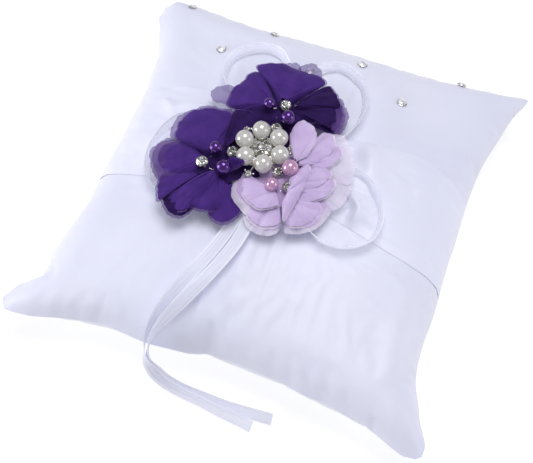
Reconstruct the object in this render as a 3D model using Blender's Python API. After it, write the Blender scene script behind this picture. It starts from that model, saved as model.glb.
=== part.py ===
"""Ring bearer pillow: a square satin pillow with a gathered sash, a four-loop ribbon bow with two tails,
three chiffon flowers with beaded hearts, and a pearl brooch at the middle.

Metres, +Z up. The origin is on the table under the middle of the pillow, +Y runs from the front edge,
where the tails fall, to the back edge, and +X runs to the right seen from the front.
"""

from math import cos, hypot, pi, radians, sin

import bmesh
import bpy
from mathutils import Vector

MM = 0.001

# Pillow
HALF = 100 * MM  # middle to corner, along X and along Y
PULL_SIDE = 0.136  # how far the middle of the left and right edges pulls in, as a share of HALF
PULL_FRONT = 0.107
PULL_BACK = 0.083
PULL_POWER = 3.2  # how late an edge flares out into its corner
SEAM_Z = 24 * MM
CROWN = 27 * MM  # height of the top over the seam
BELLY = 30 * MM  # depth of the unloaded underside below the seam; the table flattens it
FULLNESS = 0.45  # how steeply the stuffed panels leave the seam
COVER_THICKNESS = 0.8 * MM
GAP = 0.4 * MM  # room between touching pieces
SEAM_GAP = 0.3 * MM
PANEL_CELLS = 14

# Sash
SASH_THICKNESS = 0.8 * MM
SASH_BACK_EDGE = 33 * MM
SASH_FRONT_EDGE = -23 * MM
SASH_PINCH = 0.42  # share of its width left under the brooch
SASH_CELLS = 6

# Bow, brooch and flowers
MIDDLE = Vector((-9.5 * MM, -0.2 * MM))  # plan position of the bow's knot and of the brooch
FELT_RADIUS = 15 * MM
FELT_THICKNESS = 1.2 * MM
KNOT_RADIUS = 5.5 * MM
RIBBON_WIDTH = 6 * MM
RIBBON_THICKNESS = 0.5 * MM
LOOP_HEIGHT = 4 * MM  # a loop's ribbon leans, so it stands less high than it is wide
LOOP_STEPS = 5  # straight pieces between two route points
TAIL_STEPS = 3

FLOWER_KEEP_OUT = 16.5 * MM  # radius round the middle that the brooch fills
FLOWER_GAP = 0.6 * MM
PETAL_THICKNESS = 0.5 * MM
PETAL_PITCH = 1.0 * MM  # from one layer of petals to the next, at a flower's heart
PETALS_Z = 58.7 * MM
PETAL_SPOKES = 25
WIRE_RADIUS = 0.35 * MM
WIRE_Z = 63.3 * MM
BEADS_Z = 64.0 * MM

PLATE_Z = 60.2 * MM
PLATE_THICKNESS = 1.2 * MM
PLATE_RADIUS = 14.2 * MM
PLATE_WAVE = 1.2 * MM
SHANK_RADIUS = 3 * MM
SHANK_Z = 58.9 * MM
PEARL_RADIUS = 4 * MM
PEARL_RING = 9 * MM
EDGE_STONE_RING = 13.6 * MM
EDGE_STONE_RADIUS = 2.4 * MM
EDGE_STONE_HEIGHT = 3.0 * MM
CENTRE_STONE_RADIUS = 4.1 * MM
CENTRE_STONE_HEIGHT = 4.0 * MM
RING_TURN = radians(52.5)  # direction of the first pearl of the brooch
STONE_SIDES = 10

# Routes across the plan, in millimetres, from the knot out and back to it
LOOP_ROUTES = {
    "ribbon_loop_back_left": [
        (-14.5, 6.5), (-25, 20), (-36, 31), (-43.5, 40), (-46, 48), (-45.5, 55.5), (-41.5, 61.5),
        (-34.5, 66.5), (-27, 67), (-21, 63), (-15, 52), (-12, 36), (-10.8, 20), (-10.2, 7.5),
    ],
    "ribbon_loop_back_right": [
        (-7.6, 8.2), (-5.5, 22), (-4, 40), (-3.2, 54), (-0.5, 63.5), (6.5, 67.8), (13.5, 65.5), (20, 60.8),
        (24, 53), (25.3, 46), (25, 35), (20.5, 24), (10, 14), (-2.6, 5.2),
    ],
    "ribbon_loop_left": [
        (-17.5, 3.4), (-30, 8.5), (-44, 11.5), (-53, 11.5), (-59, 7), (-62, 0), (-62.8, -9), (-61.2, -16.5),
        (-57, -23), (-50.5, -28.3), (-42, -29), (-31, -21), (-17, -6.5),
    ],
    "ribbon_loop_right": [
        (-2, 1.6), (12, 5), (27.8, 8.3), (36.8, 7.6), (43, 3.6), (48, -2.4), (50.7, -9.3), (50.6, -17),
        (48.2, -22.8), (42, -27.6), (34.7, -29.7), (26.8, -29), (18, -24), (8, -14), (-3.5, -5.4),
    ],
}

# Line midway between the two tails, in millimetres: down over the front of the pillow, off its edge and along
# the table, where the right tail runs on further than the left one
TAIL_ROUTE = [
    (-7.6, -11.5, 55.5), (-7.4, -18, 55.2), (-7.3, -25, 54.4), (-7.7, -33.5, 53.2), (-9.5, -43.5, 52.1),
    (-12.8, -54, 51.1), (-17, -64.2, 49.7), (-21.2, -73.8, 47.4), (-25.4, -83.2, 43.8), (-28.2, -90.7, 38.1),
    (-28.9, -95.9, 29.3), (-26.9, -98.8, 19.2), (-21.9, -99.8, 9.2), (-12.9, -100.3, 4), (-1.7, -101, 3.4),
    (8.6, -101.9, 3.3), (18.5, -102.2, 3.3),
]
TAIL_ENDS = {"ribbon_tail_left": (24, -102.4, 3.3), "ribbon_tail_right": (31.5, -102, 3.3)}
# At each point, how far each tail lies from that line: along its width, and square to its face (mm)
TAIL_SPREAD = [
    (2.6, 0.6), (2.8, 0.6), (3.0, 0.6), (3.2, 0.6), (3.5, 0.6), (3.5, 0.6), (3.3, 0.6), (2.8, 0.6),
    (2.0, 0.6), (1.2, 0.6), (0.4, 0.6), (0.2, 0.6), (0, 0.7), (0, 0.9), (0, 1.2), (0, 1.7), (0, 2.4),
    (0, 3.1),
]
# Direction of a tail's width: flat on the pillow, on edge where it leaves it, then standing on the table
TAIL_TWIST = [
    (0, (0.98, -0.2, 0.0)), (5, (0.9, -0.43, 0.0)), (7, (0.85, -0.45, -0.25)), (10, (0.3, 0.45, -0.84)),
    (13, (0.0, 0.1, -1.0)), (17, (0.0, 0.0, -1.0)),
]

# Flowers: centre of the petals and of the beaded heart (mm), radius (mm), and the directions from the middle
# that bound the flower, where it presses against its neighbours (degrees)
FLOWERS = {
    "flower_back": {
        "centre": (-10, 24), "heart": (-8.4, 21.8), "radius": 31, "from": 52, "to": 142,
        "colour": "chiffon_purple",
        "pearls": {"small": (-14.2, 22.4, 2.6), "large": (-3.6, 17.9, 3.1)}, "stone": (-7.5, 25.2, 2.6),
    },
    "flower_left": {
        "centre": (-31, -11), "heart": (-27.6, -13.4), "radius": 30, "from": 142, "to": 262,
        "colour": "chiffon_purple",
        "pearls": {"small": (-28.7, -8.6, 2.8), "large": (-21.7, -17, 3.1)}, "stone": (-32.2, -16.4, 2.7),
    },
    "flower_right": {
        "centre": (6, -7), "heart": (6.2, -12.6), "radius": 28, "from": 262, "to": 412,
        "colour": "chiffon_lilac",
        "pearls": {"small": (1.6, -17.8, 2.8), "large": (6.4, -7.4, 3.4)}, "stone": (8.4, -15.6, 2.6),
    },
}
# Petal layers, lowest first: share of the flower's radius, droop and rise of the rim (mm), turn (degrees)
PETAL_LAYERS = [
    ("outer_petals", 1.0, 4.0, 0.0, 0), ("middle_petals", 0.82, 1.0, 0.0, 36),
    ("inner_petals", 0.62, 0.0, 2.0, 12), ("heart_petals", 0.4, 0.0, 1.2, 48),
]

# Stones glued to the cover behind the sash, in two staggered rows (mm)
COVER_STONES = [(-82, 89.5), (-33.5, 83), (15, 77.5), (64.5, 88.5), (-54.5, 62), (-7, 61.5), (40.5, 60.5)]
COVER_STONE_RADIUS = 2.1 * MM
COVER_STONE_HEIGHT = 1.3 * MM

COLOURS = {  # red, green, blue, roughness, metallic
    "satin_white": (0.86, 0.86, 0.93, 0.38, 0), "organza_white": (0.93, 0.93, 0.97, 0.45, 0),
    "chiffon_purple": (0.1, 0.035, 0.25, 0.75, 0), "chiffon_lilac": (0.6, 0.44, 0.68, 0.75, 0),
    "pearl_white": (0.88, 0.86, 0.82, 0.18, 0), "pearl_purple": (0.13, 0.03, 0.27, 0.15, 0),
    "pearl_pink": (0.6, 0.22, 0.5, 0.18, 0), "crystal": (0.92, 0.93, 0.95, 0.05, 0),
    "silver_metal": (0.75, 0.73, 0.68, 0.2, 1), "felt_white": (0.85, 0.85, 0.87, 0.95, 0),
    "polyester_fibre": (0.92, 0.92, 0.92, 0.95, 0),
}


# --- the pillow's surface ---

def pulled(across, along, pull):
    """Where an edge lies across the pillow, at a place along it from -1 to 1."""
    return HALF * across * (1 - pull * (1 - min(abs(along), 1) ** PULL_POWER))


def plan(u, v):
    """Plan position of the panel point (u, v), each from -1 to 1."""
    return pulled(u, v, PULL_SIDE), pulled(v, u, PULL_FRONT if v < 0 else PULL_BACK)


def puff(u, v):
    """Height of a stuffed panel over its seam, from 0 at the seam to 1 at the middle."""
    return (max(0.0, 1 - u * u) * max(0.0, 1 - v * v)) ** FULLNESS


def upper(u, v, grow=0.0):
    """Point of the top panel, moved outward by grow."""
    x, y = plan(u, v)
    scale = 1 + grow / (0.9 * HALF)
    return Vector((x * scale, y * scale, SEAM_Z + (CROWN + grow) * puff(u, v)))


def lower(u, v, grow=0.0):
    """Point of the bottom panel, flattened where it rests on the table."""
    x, y = plan(u, v)
    scale = 1 + grow / (0.9 * HALF)
    depth = min(BELLY * puff(u, v), SEAM_Z)
    return Vector((x * scale, y * scale, SEAM_Z - depth * (1 + grow / SEAM_Z)))


def panel_place(x, y):
    """The panel point (u, v) above the plan position (x, y)."""
    u, v = x / HALF, y / HALF
    for _ in range(30):
        u = x / pulled(1, v, PULL_SIDE)
        v = y / pulled(1, u, PULL_FRONT if v < 0 else PULL_BACK)
    return u, v


def top_z(x, y):
    return upper(*panel_place(x, y)).z


def top_normal(x, y):
    step = 0.5 * MM
    slope_x = (top_z(x + step, y) - top_z(x - step, y)) / (2 * step)
    slope_y = (top_z(x, y + step) - top_z(x, y - step)) / (2 * step)
    return Vector((-slope_x, -slope_y, 1)).normalized()


# --- making objects ---

def clear_scene():
    for old in list(bpy.data.objects):
        bpy.data.objects.remove(old, do_unlink=True)


def material(name):
    found = bpy.data.materials.get(name)
    if found:
        return found
    red, green, blue, roughness, metallic = COLOURS[name]
    made = bpy.data.materials.new(name)
    made.use_nodes = True
    shader = made.node_tree.nodes["Principled BSDF"]
    shader.inputs["Base Color"].default_value = (red, green, blue, 1)
    shader.inputs["Roughness"].default_value = roughness
    shader.inputs["Metallic"].default_value = metallic
    return made


def add_object(name, mesh, colour, smooth=True):
    mesh.materials.append(material(colour))
    if smooth:
        mesh.shade_smooth()
    thing = bpy.data.objects.new(name, mesh)
    bpy.context.scene.collection.objects.link(thing)
    return thing


def mesh_from(name, points, faces):
    """A closed mesh whose faces point out."""
    mesh = bpy.data.meshes.new(name)
    mesh.from_pydata([tuple(p) for p in points], [], faces)
    solid = bmesh.new()
    solid.from_mesh(mesh)
    bmesh.ops.recalc_face_normals(solid, faces=solid.faces)
    if solid.calc_volume(signed=True) < 0:
        bmesh.ops.reverse_faces(solid, faces=solid.faces)
    solid.to_mesh(mesh)
    solid.free()
    return mesh


def slab(name, front, back, colour):
    """One closed body between two grids of points of the same size."""
    rows, columns = len(front), len(front[0])
    points = [p for grid in (front, back) for row in grid for p in row]
    behind = rows * columns

    def at(row, column):
        return row * columns + column

    faces = []
    for i in range(rows - 1):
        for j in range(columns - 1):
            a, b, c, d = at(i, j), at(i, j + 1), at(i + 1, j + 1), at(i + 1, j)
            # The same diagonal on both sides, so that nested panels stay clear of each other
            for corners in ((a, b, c), (a, c, d)):
                faces.append(corners)
                faces.append([behind + k for k in reversed(corners)])
    rim = [at(0, j) for j in range(columns - 1)] + [at(i, columns - 1) for i in range(rows - 1)]
    rim += [at(rows - 1, j) for j in range(columns - 1, 0, -1)] + [at(i, 0) for i in range(rows - 1, 0, -1)]
    for a, b in zip(rim, rim[1:] + rim[:1]):
        faces.append([a, behind + a, behind + b, b])
    return add_object(name, mesh_from(name, points, faces), colour)


def disc(name, top_rings, bottom_rings, colour, smooth=True):
    """One closed body from rings of points, each list starting with its centre point."""
    spokes = len(top_rings[1])
    points, faces = [], []
    for rings in (top_rings, bottom_rings):
        start = len(points)
        points.append(rings[0])
        for ring in rings[1:]:
            points.extend(ring)
        for k in range(spokes):
            after = (k + 1) % spokes
            faces.append([start, start + 1 + k, start + 1 + after])
            for ring in range(len(rings) - 2):
                inner = start + 1 + ring * spokes
                outer = inner + spokes
                faces.append([inner + k, outer + k, outer + after, inner + after])
    half = len(points) // 2
    outer = half - spokes
    for k in range(spokes):
        after = (k + 1) % spokes
        faces.append([outer + k, half + outer + k, half + outer + after, outer + after])
    return add_object(name, mesh_from(name, points, faces), colour, smooth)


def smooth_route(points, steps):
    """Points along a smooth curve that passes through the route's own points."""
    ends = [2 * points[0] - points[1]] + list(points) + [2 * points[-1] - points[-2]]
    route = []
    for a, b, c, d in zip(ends, ends[1:], ends[2:], ends[3:]):
        for step in range(steps):
            t = step / steps
            route.append(0.5 * (2 * b + (c - a) * t + (2 * a - 5 * b + 4 * c - d) * t ** 2
                                + (3 * b - a - 3 * c + d) * t ** 3))
    return route + [points[-1]]


def tangents(route):
    padded = [route[0]] + route + [route[-1]]
    return [(after - before).normalized() for before, after in zip(padded, padded[2:])]


def frames(route, widths):
    """At each place of a route, the unit directions across a ribbon and square to its face."""
    found = []
    for ahead, across in zip(tangents(route), widths):
        across = (across - ahead * across.dot(ahead)).normalized()
        found.append((across, ahead.cross(across).normalized()))
    return found


def strip(name, route, widths, width, colour):
    """A flat ribbon along a route, its width along the given directions."""
    front, back = [], []
    for place, (across, out) in zip(route, frames(route, widths)):
        side, face = across * width / 2, out * RIBBON_THICKNESS / 2
        front.append([place - side + face, place + side + face])
        back.append([place - side - face, place + side - face])
    return slab(name, front, back, colour)


# --- pillow ---

def panel_lines(cells):
    """Places from -1 to 1, closer together towards the seams."""
    return [sin(pi / 2 * (2 * k / cells - 1)) for k in range(cells + 1)]


def panel(side, grow, seam_shift):
    lines = panel_lines(PANEL_CELLS)
    shift = Vector((0, 0, seam_shift))
    return [[side(u, v, grow) + shift for v in lines] for u in lines]


def make_pillow():
    half_gap = SEAM_GAP / 2
    slab("front_cover", panel(upper, 0, half_gap), panel(upper, -COVER_THICKNESS, half_gap), "satin_white")
    # The rest face keeps z = 0, so the bottom panel's rim alone steps down from the seam.
    outer, inner = panel(lower, 0, 0), panel(lower, -COVER_THICKNESS, 0)
    for grid in (outer, inner):
        for row in grid:
            for point in row:
                point.z = min(point.z, SEAM_Z - half_gap)
    slab("back_cover", outer, inner, "satin_white")
    inset = -COVER_THICKNESS - GAP
    slab("fibre_filling", panel(upper, inset, half_gap), panel(lower, inset, -half_gap), "polyester_fibre")


def sash_edges(x):
    """Front and back edge of the sash at x: wide at the side seams, drawn together under the brooch."""
    away = min(1.0, abs(x - MIDDLE.x) / (55 * MM))
    spread = SASH_PINCH + (1 - SASH_PINCH) * sin(pi / 2 * away)
    return SASH_FRONT_EDGE * spread, SASH_BACK_EDGE * spread


def make_sash():
    lines = panel_lines(PANEL_CELLS)[1:-1]
    bottom, top = [], []
    for u in lines:
        x = plan(u, 0)[0]
        front, back = sash_edges(x)
        below, above = [], []
        for k in range(SASH_CELLS + 1):
            y = front + (back - front) * k / SASH_CELLS
            v = panel_place(x, y)[1]
            below.append(upper(u, v, GAP + SEAM_GAP))
            above.append(upper(u, v, GAP + SEAM_GAP + SASH_THICKNESS))
        bottom.append(below)
        top.append(above)
    slab("satin_sash", top, bottom, "satin_white")


# --- bow ---

FELT_BELOW = GAP * 2 + SEAM_GAP + SASH_THICKNESS + 0.3 * MM  # height of the felt's underside over the cover
BOW_BELOW = FELT_BELOW + FELT_THICKNESS + GAP  # height of the bow over the cover, on the felt


def ring_points(centre, radius_at, height_at, spokes):
    ring = []
    for k in range(spokes):
        turn = 2 * pi * k / spokes
        reach = radius_at(turn)
        x, y = centre.x + reach * cos(turn), centre.y + reach * sin(turn)
        ring.append(Vector((x, y, height_at(x, y))))
    return ring


def make_felt():
    def rings(height):
        def height_at(x, y):
            return top_z(x, y) + height
        centre = Vector((MIDDLE.x, MIDDLE.y, height_at(*MIDDLE)))
        return [centre] + [ring_points(MIDDLE, lambda turn, r=r: r, height_at, 24)
                           for r in (FELT_RADIUS / 2, FELT_RADIUS)]

    disc("felt_base", rings(FELT_BELOW + FELT_THICKNESS), rings(FELT_BELOW), "felt_white")


def make_knot():
    base = top_z(*MIDDLE) + BOW_BELOW
    top = base + LOOP_HEIGHT

    def rings(z, belly):
        centre = Vector((MIDDLE.x, MIDDLE.y, z))
        return [centre] + [ring_points(MIDDLE, lambda turn, r=r: r, lambda x, y, z=level: z, 16)
                           for r, level in ((KNOT_RADIUS * 0.7, z), (KNOT_RADIUS, belly))]

    disc("ribbon_knot", rings(top, top - 1.2 * MM), rings(base, base + 1.2 * MM), "organza_white")


def bow_base(x, y):
    """Underside of a bow loop: on the felt near the knot, and just over the sash away from it."""
    away = hypot(x - MIDDLE.x, y - MIDDLE.y)
    settled = min(1.0, max(0.0, (away - FELT_RADIUS - MM) / (15 * MM)))
    return top_z(x, y) + BOW_BELOW - settled * (BOW_BELOW - 2.2 * MM)


def make_loops():
    up = Vector((0, 0, 1))
    for name, points in LOOP_ROUTES.items():
        route = smooth_route([Vector((x * MM, y * MM, 0)) for x, y in points], LOOP_STEPS)
        for place in route:
            place.z = bow_base(place.x, place.y) + LOOP_HEIGHT / 2
        strip(name, route, [up] * len(route), LOOP_HEIGHT, "organza_white")


def between(stops, place):
    """The vector that a list of (place, vector) stops gives at a place between them."""
    for (start, first), (end, last) in zip(stops, stops[1:]):
        if place <= end:
            return Vector(first).lerp(Vector(last), (place - start) / (end - start))
    return Vector(stops[-1][1])


def make_tails():
    spreads = list(enumerate(TAIL_SPREAD))
    for name, end in TAIL_ENDS.items():
        side = -1 if name == "ribbon_tail_left" else 1
        middle = smooth_route([Vector(p) * MM for p in TAIL_ROUTE + [end]], TAIL_STEPS)
        places = [k / TAIL_STEPS for k in range(len(middle))]
        widths = [between(TAIL_TWIST, place) for place in places]
        route = []
        for point, place, (across, out) in zip(middle, places, frames(middle, widths)):
            sideways, apart = between(spreads, place) * MM * side
            route.append(point + across * sideways + out * apart)
        strip(name, route, widths, RIBBON_WIDTH, "organza_white")


# --- flowers ---

def reach_to_line(place, turn, bound):
    """How far a ray from place can run before the line from the middle in direction bound."""
    line = Vector((cos(bound), sin(bound)))
    ray = Vector((cos(turn), sin(turn)))
    cross = ray.x * line.y - ray.y * line.x
    offset = MIDDLE - place
    if abs(cross) < 1e-9:
        return 1.0
    reach = (offset.x * line.y - offset.y * line.x) / cross
    hit = place + ray * reach - MIDDLE
    return reach - FLOWER_GAP / abs(cross) if reach > 0 and hit.dot(line) > 0 else 1.0


def reach_to_brooch(place, turn):
    """How far a ray from place can run before the brooch."""
    ray = Vector((cos(turn), sin(turn)))
    offset = place - MIDDLE
    along = offset.dot(ray)
    inside = along * along - offset.length_squared + FLOWER_KEEP_OUT ** 2
    return -along - inside ** 0.5 if inside > 0 and along < 0 else 1.0


def make_flower(name, flower):
    petals = Vector(flower["centre"]) * MM
    heart = Vector(flower["heart"]) * MM
    bounds = (radians(flower["from"]), radians(flower["to"]))
    for level, (layer, share, droop, rise, turned) in enumerate(PETAL_LAYERS):
        radius = flower["radius"] * MM * share
        centre = petals.lerp(heart, level / (len(PETAL_LAYERS) - 1))

        def radius_at(turn, radius=radius, centre=centre, turned=radians(turned)):
            lobe = radius * (0.84 + 0.16 * abs(cos(2.5 * (turn - turned))) ** 0.6)
            limits = [reach_to_line(centre, turn, bound) for bound in bounds]
            return min([lobe, reach_to_brooch(centre, turn)] + limits)

        def height_at(x, y, radius=radius, centre=centre, level=level, droop=droop, rise=rise):
            from_middle = max(0.0, hypot(x - MIDDLE.x, y - MIDDLE.y) - FLOWER_KEEP_OUT)
            from_centre = hypot(x - centre.x, y - centre.y) / radius
            cup = rise * from_centre ** 2 - droop * (from_middle / (44 * MM)) ** 2
            return PETALS_Z + level * PETAL_PITCH + cup * MM

        def rings(lift):
            def lifted(x, y):
                return height_at(x, y) + lift
            middle = Vector((centre.x, centre.y, lifted(*centre)))
            return [middle] + [
                ring_points(centre, lambda turn, s=s: s * radius_at(turn), lifted, PETAL_SPOKES)
                for s in (0.55, 1.0)
            ]
        disc(f"{name}_{layer}", rings(PETAL_THICKNESS), rings(0), flower["colour"])


def ball(name, place, radius, colour, segments=12, rings=7):
    mesh = bpy.data.meshes.new(name)
    solid = bmesh.new()
    bmesh.ops.create_uvsphere(solid, u_segments=segments, v_segments=rings, radius=radius)
    solid.to_mesh(mesh)
    solid.free()
    thing = add_object(name, mesh, colour)
    thing.location = place
    return thing


def stone(name, place, radius, height, axis=Vector((0, 0, 1))):
    """A cut stone: a girdle, a sloping crown and a flat table, its back flat on its seat."""
    profile = ((0.8, 0), (1.0, 0.4), (0.55, 1.0))
    centre = Vector((0, 0))
    rings = [ring_points(centre, lambda turn, r=r: r * radius, lambda x, y, h=h: h * height, STONE_SIDES)
             for r, h in profile]
    top = [Vector((0, 0, height)), rings[2], rings[1]]
    bottom = [Vector((0, 0, 0)), [p.lerp(Vector((0, 0, 0)), 0.5) for p in rings[0]], rings[0]]
    thing = disc(name, top, bottom, "crystal", smooth=False)
    thing.location = place
    thing.rotation_euler = axis.to_track_quat("Z", "Y").to_euler()
    return thing


def make_heart(name, flower):
    """The beads of one flower and the wire under them."""
    colour = "pearl_pink" if flower["colour"] == "chiffon_lilac" else "pearl_purple"
    under = []
    for size, (x, y, radius) in flower["pearls"].items():
        place = Vector((x * MM, y * MM, BEADS_Z + radius * MM))
        ball(f"{name}_{size}_pearl", place, radius * MM, colour)
        under.append(Vector((place.x, place.y, WIRE_Z)))
    x, y, radius = flower["stone"]
    place = Vector((x * MM, y * MM, BEADS_Z))
    stone(f"{name}_stone", place, radius * MM, 1.5 * radius * MM)
    under.insert(1, Vector((place.x, place.y, WIRE_Z)))
    wire(f"{name}_wire", smooth_route(under, 4))


def wire(name, route):
    curve = bpy.data.curves.new(name, "CURVE")
    curve.dimensions = "3D"
    curve.bevel_depth = WIRE_RADIUS
    curve.bevel_resolution = 2
    curve.use_fill_caps = True
    line = curve.splines.new("POLY")
    line.points.add(len(route) - 1)
    for point, place in zip(line.points, route):
        point.co = (*place, 1)
    curve.materials.append(material("silver_metal"))
    thing = bpy.data.objects.new(name, curve)
    bpy.context.scene.collection.objects.link(thing)
    return thing


# --- brooch ---

def make_brooch():
    def plate_edge(turn):
        return PLATE_RADIUS + PLATE_WAVE * cos(6 * (turn - RING_TURN - pi / 6))

    def ring(reach, z, share=1.0):
        return ring_points(MIDDLE, lambda turn: plate_edge(turn) * share if reach is None else reach,
                           lambda x, y: z, 36)

    plate_top = PLATE_Z + PLATE_THICKNESS
    top = [Vector((*MIDDLE, plate_top)), ring(SHANK_RADIUS, plate_top),
           ring(SHANK_RADIUS * 1.3, plate_top), ring(None, plate_top)]
    bottom = [Vector((*MIDDLE, SHANK_Z)), ring(SHANK_RADIUS, SHANK_Z),
              ring(SHANK_RADIUS * 1.3, PLATE_Z), ring(None, PLATE_Z)]
    disc("brooch_setting", top, bottom, "silver_metal", smooth=False)

    seat = plate_top + SEAM_GAP
    for k in range(6):
        turn = RING_TURN + k * pi / 3
        out = Vector((cos(turn), sin(turn))) * PEARL_RING + MIDDLE
        ball(f"brooch_pearl_{k + 1}", Vector((*out, seat + PEARL_RADIUS)), PEARL_RADIUS, "pearl_white", 12, 8)
        turn += pi / 6
        out = Vector((cos(turn), sin(turn))) * EDGE_STONE_RING + MIDDLE
        stone(f"brooch_edge_stone_{k + 1}", Vector((*out, seat)), EDGE_STONE_RADIUS, EDGE_STONE_HEIGHT)
    stone("brooch_centre_stone", Vector((*MIDDLE, seat)), CENTRE_STONE_RADIUS, CENTRE_STONE_HEIGHT)


def make_cover_stones():
    for k, (x, y) in enumerate(COVER_STONES):
        axis = top_normal(x * MM, y * MM)
        place = Vector((x * MM, y * MM, top_z(x * MM, y * MM) + SEAM_GAP / 2)) + axis * GAP
        stone(f"cover_stone_{k + 1}", place, COVER_STONE_RADIUS, COVER_STONE_HEIGHT, axis)


clear_scene()
make_pillow()
make_sash()
make_felt()
make_knot()
make_loops()
make_tails()
for flower_name, flower_sizes in FLOWERS.items():
    make_flower(flower_name, flower_sizes)
    make_heart(flower_name, flower_sizes)
make_brooch()
make_cover_stones()
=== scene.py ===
"""Looks of the ring bearer pillow: satin covers, sash, organza bow, chiffon flowers, beads and brooch.

Lengths in the tables and in the shape code are in millimetres; meshes are made in metres.
"""

import bpy
import numpy as np
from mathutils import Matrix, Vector
from mathutils.bvhtree import BVHTree
from numpy import cos, exp, sin, stack


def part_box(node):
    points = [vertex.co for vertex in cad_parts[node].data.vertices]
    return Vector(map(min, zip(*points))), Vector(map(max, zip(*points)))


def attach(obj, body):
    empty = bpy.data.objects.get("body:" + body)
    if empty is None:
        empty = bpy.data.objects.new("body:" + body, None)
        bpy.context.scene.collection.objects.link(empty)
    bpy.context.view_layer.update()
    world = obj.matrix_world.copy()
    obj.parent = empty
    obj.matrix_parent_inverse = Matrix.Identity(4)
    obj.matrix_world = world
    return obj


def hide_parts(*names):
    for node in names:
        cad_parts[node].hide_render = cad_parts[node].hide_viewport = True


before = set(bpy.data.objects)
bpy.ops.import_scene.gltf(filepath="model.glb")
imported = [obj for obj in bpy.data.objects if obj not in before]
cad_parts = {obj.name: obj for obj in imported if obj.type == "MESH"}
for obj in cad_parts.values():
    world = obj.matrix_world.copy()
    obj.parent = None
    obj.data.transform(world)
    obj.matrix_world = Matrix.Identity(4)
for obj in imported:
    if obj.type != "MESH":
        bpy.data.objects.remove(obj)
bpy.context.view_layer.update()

MM = 0.001
TURN = 2 * np.pi
UP = np.array([0.0, 0.0, 1.0])

# Pillow outline and crown, as in the CAD
HALF = 100
PULL_SIDE, PULL_FRONT, PULL_BACK, PULL_POWER = 0.136, 0.107, 0.083, 3.2
SEAM_Z, CROWN, BELLY, FULLNESS = 24, 27, 30, 0.45
CELLS = 120  # cover cells from seam to seam

# How far the real seams stand out from that outline, by place from -1 to 1 along each side
LEFT_SEAM = [
    (-1, 1), (-0.93, 4.8), (-0.85, 4.2), (-0.77, -1), (-0.6, 2.2), (-0.3, 0.5), (0, 0), (0.3, 0.6), (0.56, 2),
    (0.75, 4.2), (0.82, 5.2), (0.89, 3), (0.97, -1), (1, -2),
]
RIGHT_SEAM = [
    (-1, 0.5), (-0.93, 1.8), (-0.8, 0.2), (-0.64, -1.5), (-0.3, 0.4), (0, 0), (0.4, -0.6), (0.7, 0.8), (1, 0),
]
FRONT_SEAM = [
    (-1, 0), (-0.83, 1.6), (-0.66, 0.9), (-0.54, 0.6), (-0.32, 2.2), (-0.13, 0.7), (-0.04, -2.4),
    (0.05, -2.1), (0.27, -0.9), (0.46, 1.1), (0.69, 2.4), (0.9, 3.8), (0.96, 2.2), (1, 0),
]
BACK_SEAM = [(-1, -2), (-0.8, 0.5), (-0.4, -0.4), (0, 0.3), (0.5, -0.3), (1, 0)]
CORNER_ROUND = {(-1, -1): 2.4, (1, -1): 1.8, (-1, 1): 4.0, (1, 1): 2.6}
LIP = 0.035  # share of the half side where the two covers lie together along the seam
PUCKER = 0.45  # height of the small gathers along the seams
COVER_CLOTH = 0.3
# Soft hollows (and swellings, with a negative depth) in the front cover: place, run in degrees, half length,
# half width, depth
DENTS = [
    (-2, -82, 35, 9, 4.5, 1.9), (34, -79, 2, 25, 5, 1.9), (10, -74, 60, 7, 4, -0.4),
    (-14, -79, 50, 12, 6, 1.2), (-45, -80, 5, 22, 6, 1), (80, -72, 60, 18, 6, 0.9), (74, 66, 40, 16, 5, 1.3),
    (86, 78, 55, 10, 4, 1), (-80, 76, -45, 14, 5, 0.9), (-76, -68, 50, 16, 5, 0.9), (40, 72, 5, 20, 6, 0.8),
    (-30, 70, 10, 18, 6, 0.7), (72, 12, 85, 18, 6, 0.8), (-78, 20, 95, 18, 6, 0.6),
]

# Cloth settling of the covers: its scale, how far in from the seams and how much fuller the cloth is cut,
# and how firmly it is held to its shape at the seams and in the middle
CLOTH_SCALE = 0.01
SLACK_WIDTH, SLACK, TIGHT = 0.22, -0.06, -0.015
HOLD_MIN, HOLD_MAX, HOLD_STIFFNESS = 0.02, 0.25, 0.6
PRESSURE, STEPS, BENDING, STIFFNESS, SHEAR, DAMPING = 1.5, 24, 0.15, 40, 20, 5

# Sash: its back and front hem over the cover, and its shape
SASH_BACK = [
    (-88, 21), (-78, 27), (-65, 33), (-50, 33.5), (-35, 29), (-20, 17), (-9.5, 14), (5, 17), (25, 28),
    (45, 31.5), (60, 33), (75, 29), (88, 22),
]
SASH_FRONT = [
    (-88, -23), (-70, -22.5), (-50, -19), (-30, -13), (-9.5, -9.7), (10, -12), (27, -15), (45, -18.5),
    (60, -21), (75, -23), (88, -25),
]
# Hollows (and ridges, with a negative depth) where the sash is drawn together, as DENTS
SASH_DENTS = [
    (42, 2, 0, 24, 20, -1), (37, 20, -62, 11, 5.5, -4.4), (63, 16, -70, 16, 5, -1),
    (49, 16, -25, 7, 2.2, -1.3), (37, -5, -35, 4.5, 2, -4.2), (39.5, -12, 75, 4.5, 2, -4.2),
    (35, -9.5, 60, 3, 2, 1.6), (50, -17, -15, 8, 3, 1.2), (-66, 20.5, -37, 6, 2, -1.8),
    (-50, 22, 20, 14, 3, -1.8), (-46, 12, -10, 12, 4, 1.2), (-40, 24, 30, 8, 2.5, 1), (-60, -2, 5, 16, 5, -1),
    (66, 6, -20, 14, 5, 0.9),
]
SASH_HALF, SASH_WIDTH, HEM_RISE, SASH_CLOTH = 86.2, 56, 4, 0.1
SASH_SMOOTHING = 9  # rows that each hem is evened over

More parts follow.
